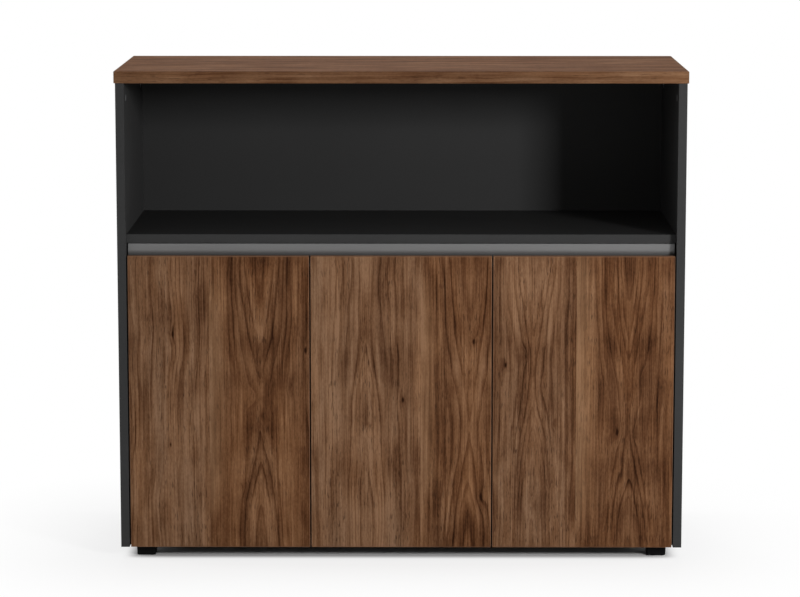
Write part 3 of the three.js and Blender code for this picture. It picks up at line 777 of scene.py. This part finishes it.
nickel = metal_finish(
    "nickelled_steel", shade(176, 174, 169), shade(208, 206, 200),
    scale=700.0, roughness=0.26, depth=0.00002,
)
zinc = metal_finish(
    "cast_zinc", shade(140, 142, 146), shade(176, 178, 181),
    scale=320.0, roughness=0.32, depth=0.00005,
)
plastic = plastic_finish()

dress("finger_pull_profile", brushed_finish())
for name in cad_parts:
    if name.endswith("_cam"):
        dress(name, zinc)
    elif name.endswith("_foot"):
        dress(name, plastic)
    elif name.endswith(("_support", "_hinge_cup", "_link", "_hinge_arm", "_mounting_plate")):
        dress(name, nickel)
bare = [name for name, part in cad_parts.items() if not any(part.data.materials)]
print("nodes without a finish:", bare)

# %% [markdown]
# Hinges hold by screws, and an open door shows them. A head starts as a flat grid. Its corners are drawn in
# to make a round disc, the faces of a plus sign are pushed down for the driver, the rim is extruded to make
# the side wall, and a bevel rounds the edge. One head is made for each set, and copied to every place in it.

# %% Screw heads
Head = namedtuple("Head", "radius rise")
HEAD_GRID = 5            # faces along each side of the grid, which reaches from -1 to 1
CROSS_HALF = 0.1         # a face of the cross has its middle this close to an axis
CROSS_REACH = 0.5        # and this close to the other one
CROSS_DEPTH = 0.7        # depth of the cross, as a share of the head's rise
RIM_ROUND = 0.45         # rounding of the rim, as a share of the head's rise


def screw_head(size):
    """A round head with a cross recess that stands on z = 0."""
    head = bmesh.new()
    bmesh.ops.create_grid(head, x_segments=HEAD_GRID, y_segments=HEAD_GRID, size=1.0)
    cross = []
    for face in head.faces:
        middle = face.calc_center_median()
        nearer, farther = sorted((abs(middle.x), abs(middle.y)))
        if nearer < CROSS_HALF and farther < CROSS_REACH:
            cross.append(face)
    for vertex in head.verts:
        x, y = vertex.co.x, vertex.co.y
        round_x = x * math.sqrt(1 - y * y / 2)
        round_y = y * math.sqrt(1 - x * x / 2)
        vertex.co = (round_x * size.radius, round_y * size.radius, size.rise)
    sunk = bmesh.ops.extrude_face_region(head, geom=cross)["geom"]
    sunk_corners = [part for part in sunk if isinstance(part, bmesh.types.BMVert)]
    bmesh.ops.translate(head, verts=sunk_corners, vec=(0, 0, -CROSS_DEPTH * size.rise))
    rim = [edge for edge in head.edges if edge.is_boundary]
    wall = bmesh.ops.extrude_edge_only(head, edges=rim)["geom"]
    foot = [part for part in wall if isinstance(part, bmesh.types.BMVert)]
    bmesh.ops.translate(head, verts=foot, vec=(0, 0, -size.rise))
    bmesh.ops.bevel(
        head, geom=rim, offset=RIM_ROUND * size.rise, offset_type="OFFSET", affect="EDGES",
        segments=2, profile=0.5, material=-1,
    )
    open_edges = [edge for edge in head.edges if edge.is_boundary]
    bmesh.ops.edgeloop_fill(head, edges=open_edges)
    bmesh.ops.recalc_face_normals(head, faces=head.faces)
    mesh = bpy.data.meshes.new("screw_head")
    head.to_mesh(mesh)
    head.free()
    return mesh


def screws(name, places, facing, body, size):
    """A set of nickelled screw heads on one body: each place is the point that a head stands on."""
    head = screw_head(size)
    turn = Vector(facing).to_track_quat("Z", "Y").to_matrix().to_4x4()
    together = bmesh.new()
    for place in places:
        before = len(together.verts)
        together.from_mesh(head)
        together.verts.ensure_lookup_table()
        added = together.verts[before:]
        bmesh.ops.transform(together, matrix=Matrix.Translation(place) @ turn, verts=added)
    mesh = bpy.data.meshes.new(name)
    together.to_mesh(mesh)
    together.free()
    print(name, "heads:", len(places), "faces of one head:", len(head.polygons))
    bpy.data.meshes.remove(head)
    mesh.materials.append(nickel)
    piece = bpy.data.objects.new(name, mesh)
    scene.collection.objects.link(piece)
    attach(piece, body)


print("a screw head starts from", HEAD_GRID * HEAD_GRID, "faces")

# %% [markdown]
# Each hinge has three pairs of screws. One pair sits in the wings of the cup, on the back of the door, and
# moves with the door. One pair holds the mounting plate to the case, above and below its saddle, and one pair
# sits in the roof of the arm. The places are counted from the boxes of the solids, so the heads stay where
# they belong if a size changes. On the left door the case lies to the left of the hinge, on the others to the
# right, so the heads face the other way there.

# %% Screws of the hinges
HINGE_HEAD = Head(0.0036, 0.0014)
ARM_HEAD = Head(0.0030, 0.0012)
CUP_WING = 0.024         # from the cup's middle to the screw in each wing of its flange
PLATE_WING = 0.017       # from the plate's middle to its screws
PLATE_SHEET = 0.0017     # from the plate's back to the face that its screws sit on
ARM_DEPTH = 0.0114       # from the arm's lowest edge to the top of its roof
ARM_SCREWS = (0.009, 0.021)    # from the arm's rear end to its screws

for door in ("left", "middle", "right"):
    into_case = 1 if door == "left" else -1
    cup_places = []
    plate_places = []
    arm_places = []
    for level in ("lower", "upper"):
        hinge = door + "_" + level
        low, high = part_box(hinge + "_hinge_cup")
        centre = (low + high) / 2
        cup_places += [Vector((centre.x, high.y, centre.z + side * CUP_WING)) for side in (-1, 1)]
        low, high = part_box(hinge + "_mounting_plate")
        centre = (low + high) / 2
        seat = (low.x if into_case > 0 else high.x) + into_case * PLATE_SHEET
        plate_places += [Vector((seat, centre.y, centre.z + side * PLATE_WING)) for side in (-1, 1)]
        low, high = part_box(hinge + "_hinge_arm")
        centre = (low + high) / 2
        roof = (low.x if into_case > 0 else high.x) + into_case * ARM_DEPTH
        arm_places += [Vector((roof, high.y - from_rear, centre.z)) for from_rear in ARM_SCREWS]
    screws(door + "_cup_screws", cup_places, (0, 1, 0), door + "_leaf", HINGE_HEAD)
    screws(door + "_plate_screws", plate_places, (into_case, 0, 0), "case", HINGE_HEAD)
    screws(door + "_arm_screws", arm_places, (into_case, 0, 0), "case", ARM_HEAD)

# %% [markdown]
# The back panel is screwed on from behind, into the rear edges of the bottom panel and of the niche shelf.
# Two level rows of heads show that, each at the middle of its board's thickness.

# %% Screws of the back panel
BACK_HEAD = Head(0.0040, 0.0014)
BACK_SCREWS = 6
BACK_MARGIN = 0.05       # from the panel's side to the first screw of a row

low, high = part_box("back_panel")
row_from = low.x + BACK_MARGIN
row_step = (high.x - low.x - 2 * BACK_MARGIN) / (BACK_SCREWS - 1)
back_places = []
for board in ("bottom_panel", "niche_shelf"):
    board_low, board_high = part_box(board)
    height = (board_low.z + board_high.z) / 2
    back_places += [Vector((row_from + step * row_step, high.y, height)) for step in range(BACK_SCREWS)]
screws("back_panel_screws", back_places, (0, 1, 0), "case", BACK_HEAD)

# %% [markdown]
# The studio is a pale floor that runs out into white. A floor lit by lamps always ends in a visible horizon,
# so beyond the object's own shadow it fades into an even white that only the eye and mirrors see. Light that
# bounces off it onto the object is kept low, because the photograph's niche is almost black on one side.

# %% Floor and surroundings
FLOOR_HALF = 30.0
SIDE_INSET = 0.040       # how far inside the case's sides its deep shadow ends
FRONT_INSET = 0.030      # how far behind the case's front its deep shadow ends
CONTACT_REACH = 0.035    # the width over which the deep shadow fades out
SHADOW_REACH = 0.50      # the width over which the soft shadow fades out
FLOOR_GLOW = 0.76        # the white that lies over the soft shadow
FLOOR_SHADE = shade(245, 245, 245)
BOUNCE_SHADE = shade(185, 185, 185)
WHITE = (1, 1, 1, 1)
WORLD_LEVEL = 0.25


def seen_directly(field):
    """1 for what the eye, a mirror or glass sees, 0 for light that bounces off a matt surface."""
    eye, mirror, glass = [
        field.node("ShaderNodeLightPath", output="Is " + ray + " Ray")
        for ray in ("Camera", "Glossy", "Transmission")
    ]
    return eye.math("MAXIMUM", mirror).math("MAXIMUM", glass)


def floor_finish():
    """Pale floor: lit and shaded near the object, even white far from it."""
    material, shader, (x, y, _) = new_finish("studio_floor")
    tree = material.node_tree
    tree.nodes.remove(shader)
    seen = seen_directly(x)
    past_side = (x.math("ABSOLUTE") - (cad_high[0] - SIDE_INSET)).math("MAXIMUM", 0.0)
    past_front = (y.math("ABSOLUTE") - (cad_high[1] - FRONT_INSET)).math("MAXIMUM", 0.0)
    away = (past_side * past_side + past_front * past_front).math("SQRT")
    glow = away.rise(0.0, CONTACT_REACH) * FLOOR_GLOW + away.rise(0.0, SHADOW_REACH) * (1 - FLOOR_GLOW)
    matt = x.node("ShaderNodeBsdfDiffuse", {"Color": seen.tint(BOUNCE_SHADE, FLOOR_SHADE)})
    white = x.node("ShaderNodeEmission", {"Color": WHITE, "Strength": 1.0})
    mixed = x.node("ShaderNodeMixShader", {0: glow * seen, 1: matt, 2: white})
    tree.links.new(mixed.socket, tree.nodes["Material Output"].inputs["Surface"])
    return material


ground = bmesh.new()
bmesh.ops.create_grid(ground, x_segments=1, y_segments=1, size=FLOOR_HALF)
ground_mesh = bpy.data.meshes.new("floor")
ground.to_mesh(ground_mesh)
ground.free()
ground_mesh.materials.append(floor_finish())
floor = bpy.data.objects.new("floor", ground_mesh)
scene.collection.objects.link(floor)
floor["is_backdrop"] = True

world = bpy.data.worlds.new("white_room")
world.use_nodes = True
scene.world = world
air = Field(world.node_tree)
brightness = seen_directly(air) * (1 - WORLD_LEVEL) + WORLD_LEVEL
backdrop = air.node("ShaderNodeBackground", {"Color": WHITE, "Strength": brightness})
world.node_tree.links.new(backdrop.socket, world.node_tree.nodes["World Output"].inputs["Surface"])
print("floor of", 2 * FLOOR_HALF, "m, world level", WORLD_LEVEL)

# %% [markdown]
# Soft boxes light the piece. The key stands low to the right of the front, which is why the niche is lit on
# its left and dark on its right. A wide one overhead lights the top and the floor and stays out of the niche.
# Weak ones at the sides and behind keep the other faces readable. A lamp's power follows from the level it
# should give: at level 1 a matt surface that faces the lamp shows its own colour.

# %% Lights
AIM = Vector((0.0, 0.0, 0.55))
SoftBox = namedtuple("SoftBox", "name azimuth elevation distance width height level")
SOFT_BOXES = [
    SoftBox("key", 36.8, 15.2, 4.57, 0.68, 0.72, 0.61),
    SoftBox("overhead", 180, 78, 4.2, 2.6, 2.0, 0.25),
    SoftBox("left_fill", -97, 15, 5.0, 1.6, 2.0, 0.34),
    SoftBox("right_fill", 97, 15, 5.0, 1.6, 2.0, 0.34),
    SoftBox("back_fill", 180, 40, 5.0, 2.5, 2.0, 0.30),
]


def hang(box):
    """A rectangular lamp that faces the object; azimuth counts from the front towards the right."""
    turn = math.radians(box.azimuth)
    lift = math.radians(box.elevation)
    flat = math.cos(lift)
    way = Vector((math.sin(turn) * flat, -math.cos(turn) * flat, math.sin(lift)))
    lamp = bpy.data.lights.new(box.name, "AREA")
    lamp.shape = "RECTANGLE"
    lamp.size = box.width
    lamp.size_y = box.height
    lamp.energy = box.level * (math.pi * box.distance) ** 2
    holder = bpy.data.objects.new(box.name, lamp)
    holder.location = AIM + way * box.distance
    holder.rotation_euler = (-way).to_track_quat("-Z", "Y").to_euler()
    scene.collection.objects.link(holder)
    print(box.name, "gives", round(lamp.energy), "W")


for box in SOFT_BOXES:
    hang(box)

# %% [markdown]
# The photograph was taken from a little above the top, from far away with a long lens, so its upright lines
# stay almost parallel. The camera stands there, tilted down a little.

# %% Camera
STAND = (0.029, -6.413, 1.522)
TILT_DOWN = 8.359        # degrees
TURN_LEFT = 0.291        # degrees

view = bpy.data.cameras.new("front_view")
view.lens = 133.8
view.sensor_width = 36.0
view.shift_y = -0.03
camera = bpy.data.objects.new("front_view", view)
camera.location = STAND
camera.rotation_euler = (math.radians(90 - TILT_DOWN), 0.0, math.radians(TURN_LEFT))
scene.collection.objects.link(camera)
scene.camera = camera
print("lens", view.lens, "mm at", STAND)

# %% [markdown]
# Dressing must not make the piece bigger: screws stand inside the box of the solids. The two boxes are
# written down side by side.

# %% Size and finish
low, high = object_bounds()
print("the dressed piece spans", [round(top - bottom, 4) for bottom, top in zip(low, high)])
